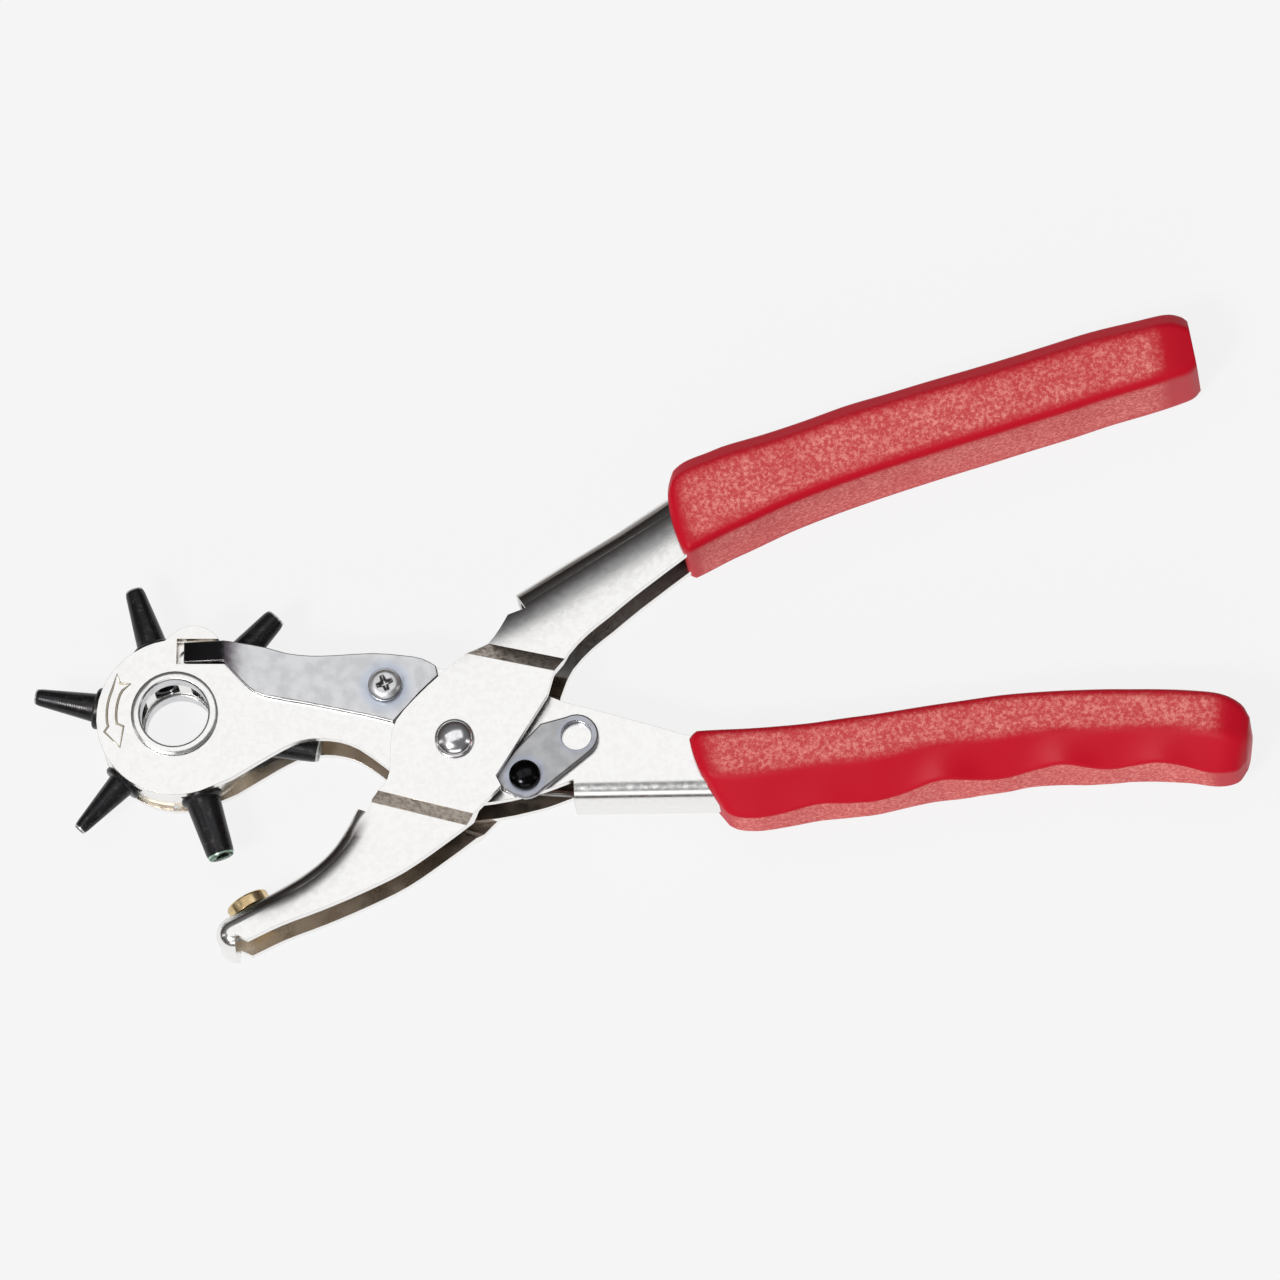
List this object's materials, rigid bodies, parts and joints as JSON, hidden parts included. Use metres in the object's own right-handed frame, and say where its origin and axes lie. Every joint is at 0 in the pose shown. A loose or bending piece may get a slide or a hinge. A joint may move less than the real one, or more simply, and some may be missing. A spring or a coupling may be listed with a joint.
{
  "type": "revolving hole punch pliers",
  "caption": "Revolving leather hole punch with two crossed sheet steel levers, a turning wheel of punch tubes, an anvil and moulded grips.",
  "frame": {"origin": "centre of the pivot rivet's flat rear head, on the surface the tool lies on", "axes": "+Z along the pivot rivet towards its domed head, +X along the wheel lever from the wheel to the grips, +Y towards the anvil lever's handle"},
  "size_m": [0.221, 0.1188, 0.0221],
  "materials": {
    "nickel_steel": "bright nickel plate on pressed sheet steel",
    "zinc_steel": "bluish zinc plate",
    "blued_steel": "blackened, semi-gloss",
    "spring_steel": "plain spring wire",
    "brass": "turned",
    "red_plastic": "moulded, fine pebbled faces"
  },
  "bodies": {
    "fixed_lever": {"wheel_lever": "nickel_steel", "lower_grip": "red_plastic", "pivot_rivet": "zinc_steel", "pivot_sleeve": "zinc_steel", "neck_pillar": "zinc_steel", "opening_spring": "spring_steel", "axle_bush_front": "zinc_steel", "axle_bush_rear": "zinc_steel", "index_spring": "zinc_steel", "index_spring_screw": "zinc_steel", "pillar_rear_screw": "zinc_steel", "catch_rivet": "blued_steel"},
    "moving_lever": {"anvil_lever": "nickel_steel", "upper_grip": "red_plastic", "anvil": "brass"},
    "wheel": {"punch_wheel": "nickel_steel", "punch_tube_2_0": "blued_steel", "punch_tube_2_5": "blued_steel", "punch_tube_3_0": "blued_steel", "punch_tube_3_5": "blued_steel", "punch_tube_4_0": "blued_steel", "punch_tube_4_5": "blued_steel"},
    "catch": {"lock_catch": "zinc_steel"}
  },
  "joints": [
    {"name": "handle_pivot", "type": "hinge", "parent": "fixed_lever", "child": "moving_lever", "pos_m": [0, 0, 0.0095], "axis": [0, 0, -1], "range_deg": [0, 11], "stiffness_Nm_per_rad": 1.5, "springref_deg": -20.05, "deforming": ["opening_spring"]},
    {"name": "wheel_turn", "type": "hinge", "parent": "fixed_lever", "child": "wheel", "pos_m": [-0.0513, 0.0057, 0.0095], "axis": [0, 0, 1], "continuous": true},
    {"name": "catch_swing", "type": "hinge", "parent": "fixed_lever", "child": "catch", "pos_m": [0.0127, -0.0063, 0.0169], "axis": [0, 0, -1], "range_deg": [0, 60]}
  ]
}
